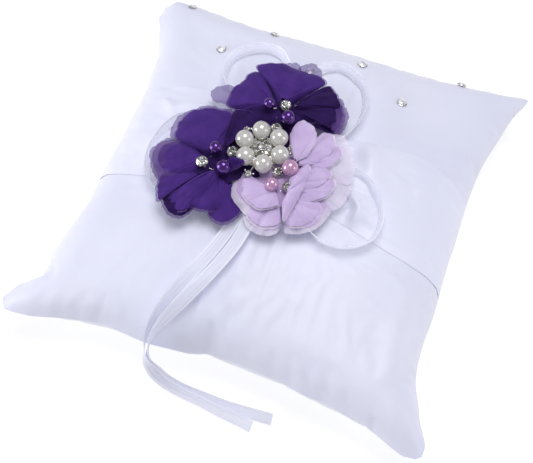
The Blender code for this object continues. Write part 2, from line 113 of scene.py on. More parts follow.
MIDDLE = np.array([-9.5, -0.2])  # the bow's knot and the brooch
RIBBON_WIDTH, RIBBON_CLOTH = 6, 0.12
ROUTE_STEPS = 8  # points along a ribbon between two of its route's own points
LOOP_NEAR, LOOP_FAR = 6.2, 4.2  # how high a loop's ribbon runs over the cover, at the knot and away from it

LOOP_ROUTES = {
    "ribbon_loop_back_left": [
        (-14.5, 6.5), (-25, 20), (-36, 31), (-43.5, 40), (-46, 48), (-45.5, 55.5), (-41.5, 61.5),
        (-34.5, 66.5), (-27, 67), (-21, 63), (-15, 52), (-12, 36), (-10.8, 20), (-10.2, 7.5),
    ],
    "ribbon_loop_back_right": [
        (-7.6, 8.2), (-5.5, 22), (-4, 40), (-3.2, 54), (-0.5, 63.5), (6.5, 67.8), (13.5, 65.5), (20, 60.8),
        (24, 53), (25.3, 46), (25, 35), (20.5, 24), (10, 14), (-2.6, 5.2),
    ],
    "ribbon_loop_left": [
        (-17.5, 3.4), (-30, 8.5), (-44, 12), (-52.5, 12.5), (-58, 8.2), (-60.9, 1), (-61.8, -8.5),
        (-60.4, -16.5), (-57, -23), (-50.5, -28.3), (-42, -29), (-31, -21), (-17, -6.5),
    ],
    "ribbon_loop_right": [
        (-2, 1.6), (12, 5), (27.8, 8.3), (36.8, 7.6), (43, 3.6), (48, -2.4), (50.7, -9.3), (50.6, -17),
        (48.2, -22.8), (42, -27.6), (34.7, -29.7), (26.8, -29), (18, -24), (8, -14), (-3.5, -5.4),
    ],
}

TAIL_ROUTE = [
    (-7.6, -11.5, 55.5), (-7.4, -18, 55.2), (-7.3, -25, 54.4), (-7.7, -33.5, 53.2), (-9.5, -43.5, 52.1),
    (-12.8, -54, 51.1), (-17, -64.2, 49.7), (-21.2, -73.8, 47.4), (-25.4, -83.2, 43.8), (-28.2, -90.7, 38.1),
    (-28.9, -95.9, 29.3), (-26.9, -98.8, 19.2), (-21.9, -99.8, 9.2), (-12.9, -100.3, 4), (-1.7, -101, 3.4),
    (8.6, -101.9, 3.3), (18.5, -102.2, 3.3),
]
TAIL_ENDS = {"ribbon_tail_left": (24, -102.4, 3.3), "ribbon_tail_right": (31.5, -102, 3.3)}
# How far each tail lies beside and above the route, by place along it
TAIL_SPREAD = [
    (2.6, 0.6), (2.8, 0.6), (3, 0.6), (3.2, 0.6), (3.5, 0.6), (3.5, 0.6), (3.3, 0.6), (2.8, 0.6), (2, 0.6),
    (1.2, 0.6), (0.4, 0.6), (0.2, 0.6), (0, 0.7), (0, 0.9), (0, 1.2), (0, 1.7), (0, 2.4), (0, 3.1),
]
# Which way the two tails lie from each other along the route
TAIL_TWIST = [
    (0, (0.98, -0.2, 0)), (5, (0.9, -0.43, 0)), (7, (0.85, -0.45, -0.25)), (10, (0.3, 0.45, -0.84)),
    (13, (0, 0.1, -1)), (17, (0, 0, -1)),
]
# Which way each tail's width points by place: flat on the cover, on edge at the seam, leaning on the floor
TAIL_LEAN = [
    (0, (0.98, -0.2, 0)), (5, (0.9, -0.43, 0)), (7, (0.75, -0.35, -0.5)), (8.3, (0.4, 0.05, -0.85)),
    (9.6, (-0.15, 0.35, -0.93)), (11, (-0.2, -0.2, -0.95)), (12.3, (0, -0.55, -0.83)), (17, (0, -0.7, -0.7)),
]

COVER_STONES = [(-82, 89.5), (-33.5, 83), (15, 77.5), (64.5, 88.5), (-54.5, 62), (-7, 61.5), (40.5, 60.5)]

# Brooch: the turn of its ring of pearls, the height they sit at, and how far out pearls and edge stones are
RING_TURN, SEAT_Z = np.radians(52.5), 61.7
PEARL_RING, PEARL_RADIUS, EDGE_RING = 9, 4.15, 13.6
EDGE_SIZES = (2.8, 1.8, 2.7, 1.7, 2.4, 2.2)

BEADS_Z, WIRE_Z, WIRE_RADIUS = 64.0, 62.5, 0.16
FULLER = 1.08  # the beads over the sizes in HEARTS
# Each flower's two beads and its stone: place and radius
HEARTS = {
    "flower_back": {"small": (-14.2, 22.4, 2.6), "large": (-3.6, 17.9, 3.1), "stone": (-7.5, 25.2, 2.6)},
    "flower_left": {"small": (-28.7, -8.6, 2.8), "large": (-21.7, -17, 3.1), "stone": (-32.2, -16.4, 2.7)},
    "flower_right": {"small": (1.6, -17.8, 2.8), "large": (6.4, -7.4, 3.4), "stone": (8.4, -15.6, 2.6)},
}

# Marks of a petal drawn in the darker chiffon as painted shade for petals turned away from the light, and of
# one with a wide sheer rim
PAINTED_SHADE, WIDE = "deep", "wide"
# Petals by layer: root, outline from one side of the root round to the other, height at the root and at the
# rim, crown, the folds as (place from -1 to 1 across the petal, width, depth), and any marks
PETALS = {
    "flower_back_outer_petals": [
        ((-22, 25), [(-27, 31), (-33, 33), (-39.5, 32), (-44, 29), (-45, 25), (-42, 21.5), (-35, 21),
         (-28, 20)], 58.5, 57.3, 0.8, []),
        ((-6, 42), [(-11, 51), (-9.5, 54.5), (-5.5, 57), (-1.5, 56.5), (1.2, 53), (2, 48)], 59, 58.8, 0.8,
         []),
        ((-15, 38), [(-22, 46), (-20.5, 51), (-16.5, 54), (-12, 54.5), (-8.5, 52), (-7, 47)], 58.5, 58.3, 0.8,
         []),
        ((-2, 28), [(8, 42), (14, 43.5), (19, 38), (21, 31), (20.5, 25), (18, 21.5), (8, 22)], 59, 57.3, 1.5,
         [(0.1, 0.12, 1.2)], PAINTED_SHADE, WIDE),
    ],
    "flower_back_middle_petals": [
        ((-6, 25.5), [(4, 38), (12, 38.5), (17.5, 36.5), (19.8, 31.5), (20, 27), (18.5, 23), (11, 24.2),
         (4, 22.8), (-3, 23)], 60.9, 59.7, 1.8, [(0.35, 0.06, 1.5), (-0.25, 0.05, 1)], PAINTED_SHADE, WIDE),
        ((-20, 27), [(-33, 20), (-36, 22), (-36, 28), (-34, 34), (-30, 40), (-24, 43), (-17, 40)], 59.7, 58.4,
         1.2, [(-0.2, 0.1, 0.8)]),
    ],
    "flower_back_inner_petals": [
        ((-13, 24.5), [(-14, 22), (-23, 20.3), (-29, 19.8), (-35.5, 20.5), (-35, 28), (-33, 35), (-31, 41),
         (-27, 44), (-20, 37), (-14, 29)], 62, 58.5, 2.6, [(0.18, 0.06, 1.4), (-0.3, 0.1, 0.5),
         (0.55, 0.04, 0.8)]),
        ((-4, 27), [(-3, 33), (1, 38.5), (5.5, 44.5), (8, 46.2), (12, 43), (15, 39.5), (16.5, 36), (10.5, 33),
         (5, 29), (-1, 26)], 62.5, 60, 2.2, [(-0.25, 0.09, 1.5), (0.3, 0.1, 1)], PAINTED_SHADE),
    ],
    "flower_back_heart_petals": [
        ((-9.5, 27.5), [(-14, 27.5), (-20.5, 35.5), (-27, 42), (-29.5, 45.3), (-24, 48), (-17.2, 51),
         (-11, 51.2), (-6, 50.2), (0.6, 49.8), (5.8, 47), (4, 42.5), (-0.7, 35.5), (-5.5, 28.5)], 63, 60.5,
         2.6, [(0.45, 0.05, 1), (-0.55, 0.05, 0.6)]),
    ],
    "flower_left_outer_petals": [
        ((-34, -4), [(-53, -5), (-55, 1), (-54, 8.5), (-50, 14), (-44, 17), (-36.5, 19), (-30, 19), (-28, 8)],
         58.5, 57.3, 0.8, []),
        ((-33, -13), [(-49, -3.5), (-55.5, -5.5), (-59, -12), (-56.8, -20.5), (-51, -27), (-44, -28)], 58.5,
         56.8, 0.8, []),
        ((-30, -20), [(-44, -29), (-46, -34), (-42, -40), (-36, -43), (-31, -40), (-27, -30)], 58, 56.3, 1,
         [], PAINTED_SHADE),
        ((-22, -17), [(-23, -31), (-22, -36.5), (-17, -39), (-12.5, -38), (-9.5, -34), (-8.2, -29),
         (-11, -23), (-17, -17)], 58.5, 56.3, 1.6, [(0.1, 0.1, 1)]),
    ],
    "flower_left_middle_petals": [
        ((-30, -17.5), [(-36, -20), (-43, -24), (-49.5, -25.5), (-49.5, -31), (-46, -38.3), (-43, -35),
         (-40, -29), (-34, -22)], 59.9, 57.4, 1, [(0.2, 0.1, 0.8)]),
        ((-28, -20), [(-33, -25), (-41, -31), (-43, -35), (-40.5, -39), (-35.5, -40.5), (-31, -38),
         (-27, -30)], 59.7, 57.2, 1.2, [(-0.1, 0.12, 0.8)]),
        ((-24.5, -18.5), [(-30, -27), (-31.5, -35), (-28.5, -37), (-22, -36), (-17, -32.3), (-14.5, -25),
         (-19, -18.5)], 60.4, 58.2, 1.8, [(0.2, 0.1, 0.9)]),
    ],
    "flower_left_inner_petals": [
        ((-31.5, -14), [(-33, -10), (-38, -8), (-48.5, -5), (-55, -6.8), (-57.5, -13), (-55.5, -20.5),
         (-51, -24.5), (-48.5, -27), (-39, -24.8), (-31, -19.5)], 61.5, 58, 2.4, [(-0.5, 0.08, 1),
         (0.45, 0.08, 0.8)], WIDE),
        ((-25, -17), [(-31.5, -19), (-35.5, -24.5), (-39.2, -33), (-36.5, -35.2), (-30, -34.8), (-25.5, -30),
         (-22.5, -23), (-22, -18)], 62, 58.8, 2.4, [(-0.25, 0.07, 1.6), (0.35, 0.08, 1.2)]),
    ],
    "flower_left_heart_petals": [
        ((-30.5, -9), [(-34, -10.2), (-42, -9), (-50.3, -5.5), (-51.5, -1), (-52.5, 3.7), (-50.5, 9.3),
         (-45, 12.8), (-39, 15), (-32.5, 16), (-29, 14), (-27, 4), (-26, -5)], 62.5, 60.3, 2.6,
         [(-0.45, 0.06, 0.8), (0.62, 0.06, 1.2)]),
        ((-25.5, -5), [(-28.5, 5), (-30.5, 17), (-25, 20.5), (-19, 19.5), (-15.5, 17.5), (-20.5, 12),
         (-24.5, 4), (-25, -1)], 61.8, 60.3, 1.6, [(-0.3, 0.07, 1.2), (0.25, 0.08, 1)], PAINTED_SHADE),
        ((-19.5, -17), [(-20.8, -16), (-20.9, -12.5), (-19.6, -11.2), (-17, -11), (-14, -11.2), (-13.2, -13),
         (-17, -15.8)], 62.5, 68.6, 0.9, []),
    ],
    "flower_right_outer_petals": [
        ((14, 4), [(12, 14), (17, 22), (22.5, 23), (27.5, 18), (31.5, 9), (33, 0), (25, -2)], 58.8, 57.8, 0.8,
         [(-0.3, 0.1, 0.8), (0.3, 0.1, 0.8)]),
        ((14, -8), [(24, 3), (33, 1.5), (33.5, -6), (31.5, -13.5), (27, -16), (20, -14)], 58.3, 56.8, 0.8,
         [(0, 0.15, 1)]),
        ((13, -18), [(24, -11), (29, -13), (28, -21), (24.5, -28), (18.5, -32), (13, -32.8), (11, -26)], 58.5,
         56.8, 1.5, [(-0.2, 0.1, 1), (0.4, 0.1, 0.8)], WIDE),
        ((4, -20), [(11, -30), (9.5, -35), (5.5, -37.3), (0.5, -37.6), (-4, -35.5), (-8.5, -29), (-6, -24)],
         58.5, 56.6, 1.2, [(0.2, 0.12, 0.8)], WIDE),
    ],
    "flower_right_middle_petals": [
        ((12, 0), [(15, 5), (18.5, 8), (20.5, 15), (24.5, 13.5), (25, 9), (22, 3), (17, -1)], 60.9, 60.7, 1.2,
         [(-0.2, 0.08, 1), (0.3, 0.08, 0.8)]),
        ((11, -16), [(17, -12), (24.6, -2), (27, -3.5), (26, -11), (22, -15.5), (16, -19.5), (12.5, -20)],
         60.7, 60.2, 1.4, [(0.1, 0.1, 0.8)]),
        ((10.5, -20), [(16, -17), (22, -14), (25, -18.5), (23.5, -25), (18.5, -30), (13.5, -31), (10, -27)],
         60.2, 58.7, 1.6, [(-0.25, 0.1, 0.8), (0.3, 0.08, 1)]),
        ((4, -18), [(8, -24), (10.3, -31), (5.6, -35), (0.6, -35.4), (-3.8, -33.2), (-8, -28), (-4, -22)],
         60.2, 58.2, 1.4, [(-0.1, 0.1, 0.9)]),
    ],
    "flower_right_inner_petals": [
        ((8, -2), [(10, 5), (11, 14), (13, 20.5), (17.4, 20), (20.5, 15.4), (20.5, 9), (17, 3), (12, -1)],
         61.8, 61.5, 1.8, [(-0.2, 0.08, 0.9)]),
        ((10, -12), [(12, -5), (14, -1), (20.5, 2), (24, 1), (23.5, -4.5), (20.5, -9.5), (15, -14)], 62.5,
         61.5, 1.8, [(0.3, 0.08, 0.9)]),
        ((3.5, -20), [(-2, -16.5), (-8, -14.5), (-12.5, -11.5), (-16, -11.8), (-18.3, -14.5), (-18, -20),
         (-15, -25.5), (-10, -29.5), (-5, -31.8), (2, -29.5), (8.5, -26.5)], 61.5, 59, 2.4,
         [(-0.35, 0.06, 0.9), (0.5, 0.07, 1.2)], PAINTED_SHADE, WIDE),
    ],
    "flower_right_heart_petals": [
        ((6.5, -1.5), [(4, 2), (1.5, 6.5), (-0.6, 12.5), (0.4, 17.8), (4, 20.2), (8.2, 19.3), (11.4, 15.2),
         (12.2, 9.5), (11.2, 2.5)], 63, 64.5, 2.2, [(0.45, 0.07, 0.8)]),
        ((9, -19.5), [(7.5, -14), (7.6, -8.5), (11.6, -1.8), (14.6, -2.8), (15.2, -9.5), (14.6, -17),
         (13.8, -24.5), (12.3, -32.3), (10.3, -28.8), (8.6, -24)], 65, 64.5, 3.2, [(-0.15, 0.06, 2.2)]),
        ((4.5, -19.5), [(-3, -18.2), (-9, -16), (-12.3, -17), (-10.5, -24), (-5.5, -28), (0.6, -29.6),
         (7.5, -25)], 63.6, 62.6, 1.8, [(0.2, 0.07, 0.8)]),
    ],
}
SHEER_CROWN = 0.8  # a petal this flat is a single sheer layer
RIM_CURL = 0.5
PETAL_CLOTH = 0.1
# How far a petal's dense body reaches towards its sheer rim, and the same where the rim is wide
DENSE_SHARE, DENSE_SHARE_WIDE_RIM = 0.95, 0.88
# Gathered discs of chiffon between each flower's petals: centre, radius, height
HEART_DISCS = {
    "flower_back_middle_petals": [((-9.5, 19), 12.5, 62.9), ((-10, 8), 12, 60)],
    "flower_left_middle_petals": [((-26, -12), 11.5, 62.9), ((-18, -5), 12, 60)],
    "flower_right_middle_petals": [((4, -14), 11.5, 62.9), ((1, -4), 12, 60)],
}
FIRST_PETAL_SEED, FIRST_STONE_SEED, FIRST_EDGE_SEED = 11, 40, 70


# --- materials ---

def shader(name, **sockets):
    """A material and its Principled shader, with the named sockets set."""
    made = bpy.data.materials.new(name)
    made.use_nodes = True
    surface = made.node_tree.nodes["Principled BSDF"]
    for socket, value in sockets.items():
        surface.inputs[socket.replace("_", " ")].default_value = value
    return made, surface


def node(surface, kind, **values):
    new = surface.id_data.nodes.new(kind)
    for key, value in values.items():
        if key in new.inputs:
            new.inputs[key].default_value = value
        else:
            setattr(new, key, value)
    return new


def link(a, out, b, into):
    a.id_data.links.new(a.outputs[out], b.inputs[into])


def noise(surface, scale, detail=2, stretch=(1, 1, 1), space="Object"):
    where = node(surface, "ShaderNodeTexCoord")
    spread = node(surface, "ShaderNodeMapping", Scale=stretch)
    grain = node(surface, "ShaderNodeTexNoise", Scale=scale, Detail=detail)
    link(where, space, spread, "Vector")
    link(spread, "Vector", grain, "Vector")
    return grain


def bump(surface, grain, strength, distance, under=None):
    new = node(surface, "ShaderNodeBump", Strength=strength, Distance=distance)
    link(noise(surface, *grain), "Fac", new, "Height")
    if under:
        link(under, "Normal", new, "Normal")
    link(new, "Normal", surface, "Normal")
    return new


def tint(surface, grain, low, high, start=0.3, end=0.7):
    ramp = node(surface, "ShaderNodeValToRGB")
    first, last = ramp.color_ramp.elements
    first.color, last.color = (*low, 1), (*high, 1)
    first.position, last.position = start, end
    link(noise(surface, *grain), "Fac", ramp, "Fac")
    link(ramp, "Color", surface, "Base Color")


def vary(surface, grain, into, low, high, start=0.0, end=1.0):
    """Drive one of the shader's sockets from low to high by a pattern."""
    new = node(surface, "ShaderNodeMapRange",
               **{"From Min": start, "From Max": end, "To Min": low, "To Max": high})
    link(noise(surface, *grain), "Fac", new, "Value")
    link(new, "Result", surface, into)


def satin(name, low, high):
    made, surface = shader(name, Roughness=0.42, Sheen_Weight=0.25, Sheen_Roughness=0.4)
    tint(surface, (18, 3), low, high)
    slubs = bump(surface, (900, 2, (1, 0.06, 1)), 0.08, 0.0001)
    bump(surface, (2600,), 0.12, 0.00005, slubs)
    return made


def organza(name, colour, alpha, glow):
    """Sheer ribbon, with denser and thinner threads along its length; glow is painted light, an emission that
    lightens the whole ribbon.
    """
    made, surface = shader(name, Roughness=0.45, Alpha=alpha, Emission_Color=(0.86, 0.88, 1, 1),
                           Emission_Strength=glow)
    tint(surface, (3000, 1), [c * 0.96 for c in colour], colour)
    bump(surface, (2500,), 0.2, 0.00005)
    vary(surface, (1, 3, (7, 0.25, 1), "UV"), "Alpha", alpha * 0.9, min(1, alpha * 1.1), 0.35, 0.65)
    return made


def chiffon(name, low, high, alpha):
    made, surface = shader(name, Roughness=0.75, Alpha=alpha, Sheen_Weight=0.05, Sheen_Roughness=0.5)
    surface.inputs["Specular IOR Level"].default_value = 0.1
    tint(surface, (160, 5), low, high)
    crinkle = bump(surface, (700, 4), 0.25, 0.0002)
    bump(surface, (3500, 1), 0.3, 0.0001, crinkle)
    return made


def pearl(name, low, high, lustre, metallic=0.3, lacquer=1.0, rim=0.0, glow=0.0):
    """A pearly bead; rim is the strength of the soft light round its edge, and glow is painted light, an
    emission that lightens the whole bead.
    """
    made, surface = shader(name, Roughness=0.2, Metallic=metallic, Coat_Weight=lacquer, Coat_Roughness=0.05,
                           Coat_IOR=lustre, Sheen_Weight=rim, Sheen_Roughness=0.25,
                           Emission_Color=(1, 0.97, 0.93, 1), Emission_Strength=glow)
    surface.inputs["Specular IOR Level"].default_value = 0.2
    tint(surface, (350, 2), low, high)
    bump(surface, (1200,), 0.03, 0.0001)
    return made


def crystal(name, low, high, metallic, roughness):
    made, surface = shader(name, Roughness=roughness, Metallic=metallic, Coat_Weight=1.0, Coat_Roughness=0.0)
    tint(surface, (400, 0), low, high, 0.42, 0.6)
    return made


def silver():
    made, surface = shader("silver_plated", Metallic=1.0)
    tint(surface, (500, 3), (0.62, 0.6, 0.53), (0.85, 0.84, 0.8))
    vary(surface, (900, 2), "Roughness", 0.12, 0.3)
    return made


def fibre(name, colour):
    made, surface = shader(name, Roughness=0.95)
    tint(surface, (400, 4), [c * 0.85 for c in colour], colour)
    bump(surface, (1500, 4), 0.6, 0.0005)
    return made


SATIN = satin("satin_white_cover", (0.7, 0.71, 0.86), (0.76, 0.77, 0.9))
SATIN_SASH = satin("satin_white_sash", (0.735, 0.745, 0.895), (0.795, 0.805, 0.94))
# The last number of each organza is painted light: a faint bluish-white emission that lightens the ribbons
ORGANZA = organza("organza_sheer", (0.8, 0.81, 0.92), 0.36, 0.16)
ORGANZA_EDGE = organza("organza_edge", (0.83, 0.84, 0.93), 0.72, 0.12)
ORGANZA_TAIL = organza("organza_tail", (0.77, 0.78, 0.89), 0.62, 0.07)
ORGANZA_TAIL_EDGE = organza("organza_tail_edge", (0.79, 0.8, 0.9), 0.78, 0.09)
PURPLE = chiffon("chiffon_purple_double", (0.046, 0.016, 0.15), (0.066, 0.024, 0.2), 1.0)
PURPLE_SHEER = chiffon("chiffon_purple_sheer", (0.11, 0.05, 0.25), (0.17, 0.09, 0.34), 0.42)
# A darker copy of the purple chiffon: painted shade for petals turned away from the light and for the
# flowers' hearts
PURPLE_PAINTED_SHADE = chiffon("chiffon_purple_painted_shade", (0.014, 0.003, 0.05), (0.027, 0.008, 0.088), 1.0)
LILAC = chiffon("chiffon_lilac_double", (0.53, 0.41, 0.67), (0.63, 0.51, 0.77), 1.0)
LILAC_SHEER = chiffon("chiffon_lilac_sheer", (0.84, 0.76, 0.94), (0.93, 0.87, 1.0), 0.4)
# A darker copy of the lilac chiffon: painted shade for petals turned away from the light and for the flower's
# heart
LILAC_PAINTED_SHADE = chiffon("chiffon_lilac_painted_shade", (0.42, 0.31, 0.54), (0.5, 0.38, 0.62), 1.0)
# The ivory pearls carry painted light: an even emission that lightens their shaded lower sides and rims
PEARL_WHITE = pearl("pearl_ivory", (0.4, 0.39, 0.38), (0.47, 0.46, 0.44), 1.9, rim=1.0, glow=0.16)
PEARL_PURPLE = pearl("pearl_dark_purple", (0.08, 0.018, 0.2), (0.1, 0.026, 0.24), 1.6, 0.85, 0.6)
PEARL_PINK = pearl("pearl_mauve_pink", (0.5, 0.26, 0.45), (0.58, 0.33, 0.53), 1.7)
CRYSTAL = crystal("crystal_foiled", (0.2, 0.2, 0.18), (0.85, 0.85, 0.86), 0.85, 0.03)
CRYSTAL_FLAT = crystal("crystal_flat_back", (0.62, 0.63, 0.66), (0.96, 0.96, 0.98), 0.25, 0.1)
SILVER = silver()
FELT = fibre("felt_white_pressed", (0.85, 0.85, 0.87))
FILLING = fibre("polyester_fibre_loose", (0.92, 0.92, 0.92))


# --- making pieces ---

def add_object(name, data):
    made = bpy.data.objects.new(name, data)
    bpy.context.scene.collection.objects.link(made)
    return made


def add_piece(name, points, faces, material, slot, replaced, smooth=True, thickness=0.0, side=0):
    """A piece from points in millimetres, riding on the pillow."""
    mesh = bpy.data.meshes.new(name)
    mesh.from_pydata((np.asarray(points, float) * MM).tolist(), [], faces)
    for one in material if isinstance(material, list) else [material]:
        mesh.materials.append(one)
    if smooth:
        mesh.shade_smooth()
    piece = add_object(name, mesh)
    if thickness:  # open edges are sharp, so that the cloth's cut edge isn't shaded into its face
        uses = np.bincount([loop.edge_index for loop in mesh.loops], minlength=len(mesh.edges))
        mesh.attributes.new("sharp_edge", "BOOLEAN", "EDGE").data.foreach_set("value", uses == 1)
        solid = piece.modifiers.new("thickness", "SOLIDIFY")
        solid.thickness, solid.offset, solid.use_even_offset = thickness * MM, side, False
    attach(piece, "root")
    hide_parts(replaced)
    return piece


def grid_faces(rows, columns, flip=False):
    k = np.arange(rows * columns).reshape(rows, columns)
    quads = stack([k[:-1, :-1], k[:-1, 1:], k[1:, 1:], k[1:, :-1]], -1).reshape(-1, 4)
    return (quads[:, ::-1] if flip else quads).tolist()


def joined(parts):
    """Points, faces and each face's material number as one mesh, from (points, faces, number) parts."""
    points, faces, kinds, start = [], [], [], 0
    for own_points, own_faces, kind in parts:
        points.append(own_points)
        faces += [[start + k for k in face] for face in own_faces]
        kinds += [kind] * len(own_faces)
        start += len(own_points)
    return np.vstack(points), faces, kinds


def smooth_route(points, steps):
    """Points along a smooth curve that passes through the route's own points."""
    p = np.asarray(points, float)
    p = np.vstack([2 * p[0] - p[1], p, 2 * p[-1] - p[-2]])
    found = []
    for a, b, c, d in zip(p, p[1:], p[2:], p[3:]):
        for t in np.arange(steps) / steps:
            found.append(0.5 * (2 * b + (c - a) * t + (2 * a - 5 * b + 4 * c - d) * t ** 2
                                + (3 * b - a - 3 * c + d) * t ** 3))
    return np.array(found + [p[-2]])


def unit(vectors):
    return vectors / np.linalg.norm(vectors, axis=-1, keepdims=True)


def circle(count):
    """Evenly spaced angles round a circle."""
    return np.linspace(0, TURN, count, endpoint=False)


def spot(turn, reach, z):
    """A place round the brooch's middle."""
    return MIDDLE[0] + reach * cos(turn), MIDDLE[1] + reach * sin(turn), z


def lengths_along(route):
    return np.concatenate([[0], np.cumsum(np.linalg.norm(np.diff(route, axis=0), axis=1))])


def along(route):
    return unit(np.vstack([route[1] - route[0], route[2:] - route[:-2], route[-1] - route[-2]]))


def frames(route, widths):
    """At each place of a route, the unit directions across a ribbon and square to its face."""
    ahead = along(route)
    across = unit(widths - ahead * (widths * ahead).sum(1, keepdims=True))
    return across, unit(np.cross(ahead, across))


def smoothstep(x):
    x = np.clip(x, 0, 1)
    return x * x * (3 - 2 * x)


# --- pillow ---

def pulled(across, along_edge, pull):
    return HALF * across * (1 - pull * (1 - np.minimum(abs(along_edge), 1) ** PULL_POWER))


def eased(stops, place):
    """Values between stops, level at each stop."""
    at, values = np.array(stops, float).T
    k = np.clip(np.searchsorted(at, place, side="right") - 1, 0, len(at) - 2)
    return values[k] + (values[k + 1] - values[k]) * smoothstep((place - at[k]) / (at[k + 1] - at[k]))


def plan(u, v):
    x = pulled(u, v, PULL_SIDE)
    y = pulled(v, u, np.where(v < 0, PULL_FRONT, PULL_BACK))
    x = x + np.where(u < 0, -eased(LEFT_SEAM, v), eased(RIGHT_SEAM, v)) * abs(u) ** 7
    y = y + np.where(v < 0, -eased(FRONT_SEAM, u), eased(BACK_SEAM, u)) * abs(v) ** 7
    for (side, end), cut in CORNER_ROUND.items():
        near = (np.maximum(0, side * u) * np.maximum(0, end * v)) ** 22
        x, y = x - side * cut * near, y - end * cut * near
    return x, y


def puff(u, v):
    inside = np.maximum(0, 1 - u * u) * np.maximum(0, 1 - v * v)
    lip = (1 - exp(-((1 - abs(u)) / LIP) ** 1.5)) * (1 - exp(-((1 - abs(v)) / LIP) ** 1.5))
    return inside ** FULLNESS * (0.12 + 0.88 * lip)


def relief(marks, x, y):
    """Depth of soft elongated hollows at places."""
    depth = 0
    for at_x, at_y, run, length, width, deep in marks:
        c, s = cos(np.radians(run)), sin(np.radians(run))
        along_it, beside = (x - at_x) * c + (y - at_y) * s, (y - at_y) * c - (x - at_x) * s
        depth = depth + deep * exp(-(along_it / length) ** 2 - (beside / width) ** 2)
    return depth


def puckers(u, v, shift):
    """Small gathers square to the seams that die away over the first centimetre or so."""
    found = 0
    for edge, t, phase in ((1 - abs(u), v, np.where(u < 0, 0.0, 2.0)),
                           (1 - abs(v), u, np.where(v < 0, 4.0, 1.0))):
        beat = TURN * 8.5 * t + 1.9 * sin(5 * t + phase + shift) + 1.3 * sin(11 * t + 2 * phase)
        near = exp(-edge / 0.085) * (1 - exp(-(edge / 0.012) ** 2)) * (1 - abs(t) ** 8)
        found = found + near * (sin(beat) + 0.4 * sin(2.3 * beat + phase))
    return PUCKER * found


def panels(cells):
    """Top and bottom panel of the pillow as grids of points."""
    line = np.linspace(-1, 1, cells + 1)
    u, v = np.meshgrid(line, line, indexing="ij")
    x, y = plan(u, v)
    inner = smoothstep((1 - np.maximum(abs(u), abs(v))) / 0.1)
    hollow = relief(DENTS, x, y) * inner
    top = stack([x, y, SEAM_Z + CROWN * puff(u, v) + puckers(u, v, 0) - hollow], -1)
    bottom = stack([x, y, SEAM_Z - np.minimum(BELLY * puff(u, v) + puckers(u, v, 3), SEAM_Z)], -1)
    return u, v, top, bottom


def simulate(u, v, top, bottom):
    """The two panels as one cloth, cut fuller along the seams, settle under the filling's pressure."""
    rim = (abs(u) == 1) | (abs(v) == 1)
    a = np.arange(u.size).reshape(u.shape)
    b = a.copy()
    b[~rim] = u.size + np.arange((~rim).sum())
    points = np.concatenate([top.reshape(-1, 3), bottom[~rim]]) * CLOTH_SCALE
    quads = np.concatenate([
        stack([a[:-1, :-1], a[1:, :-1], a[1:, 1:], a[:-1, 1:]], -1).reshape(-1, 4),
        stack([b[:-1, :-1], b[:-1, 1:], b[1:, 1:], b[1:, :-1]], -1).reshape(-1, 4)])
    mesh = bpy.data.meshes.new("settling")
    mesh.from_pydata(points.tolist(), [], quads.tolist())
    cloth = add_object("settling", mesh)
    edge = 1 - np.maximum(abs(u), abs(v))
    slack = exp(-(edge / SLACK_WIDTH) ** 2)
    slack = np.concatenate([slack.ravel(), slack[~rim]])
    hold = HOLD_MIN + (HOLD_MAX - HOLD_MIN) * (1 - slack)
    for name, weights in (("slack", slack), ("hold", hold)):
        group = cloth.vertex_groups.new(name=name)
        for k, weight in enumerate(weights):
            group.add([k], float(weight), "REPLACE")
    settle = cloth.modifiers.new("settle", "CLOTH")
    s = settle.settings
    s.quality, s.mass, s.air_damping = 6, 0.3, 3
    s.tension_stiffness = s.compression_stiffness = STIFFNESS
    s.shear_stiffness, s.bending_stiffness = SHEAR, BENDING
    s.tension_damping = s.compression_damping = DAMPING
    s.vertex_group_mass, s.pin_stiffness = "hold", HOLD_STIFFNESS
    s.vertex_group_shrink, s.shrink_min, s.shrink_max = "slack", TIGHT, SLACK
    s.use_pressure, s.uniform_pressure_force = True, PRESSURE
    s.effector_weights.gravity = 0
    settle.collision_settings.use_collision = False
    settle.collision_settings.use_self_collision = False
    scene = bpy.context.scene
    for frame_number in range(1, STEPS):
        scene.frame_set(frame_number)
    seen = cloth.evaluated_get(bpy.context.evaluated_depsgraph_get())
    settled = np.empty(len(points) * 3)
    seen.data.vertices.foreach_get("co", settled)
    settled = settled.reshape(-1, 3) / CLOTH_SCALE
    scene.frame_set(1)
    bpy.data.objects.remove(cloth, do_unlink=True)
    return settled[a], settled[b]


def make_covers():
    u, v, top, bottom = panels(CELLS)
    top, bottom = simulate(u, v, top, bottom)
    rows = CELLS + 1
    bottom[..., 2] = np.maximum(bottom[..., 2], 0)
    top_faces = grid_faces(rows, rows, flip=True)
    front = add_piece("front_cover_satin", top.reshape(-1, 3), top_faces, SATIN,
                      "satin_white", "front_cover", thickness=COVER_CLOTH, side=-1)
    back = add_piece("back_cover_satin", bottom.reshape(-1, 3), grid_faces(rows, rows), SATIN,
                     "satin_white", "back_cover", thickness=COVER_CLOTH, side=-1)
    side = len(top[::4])
    inner, faces, _ = joined([(panel[::4, ::4].reshape(-1, 3), grid_faces(side, side, flip=flip), 0)
                              for panel, flip in ((top, True), (bottom, False))])
    centre = np.array([0, 0, SEAM_Z])
    inner = centre + (inner - centre) * (0.975, 0.975, 0.93)  # clear of the covers
    filling = add_piece("fibre_filling_loose", inner, faces, FILLING, "polyester_fibre", "fibre_filling")
    return top, BVHTree.FromPolygons(top.reshape(-1, 3).tolist(), top_faces)


def cover_z(x, y):
    """Height of the front cover under a place."""
    hit = COVER.ray_cast(Vector((float(x), float(y), 200)), Vector((0, 0, -1)))[0]
    return hit.z if hit else SEAM_Z


def on_cover(x, y):
    return np.array([cover_z(a, b) for a, b in zip(np.ravel(x), np.ravel(y))]).reshape(np.shape(x))


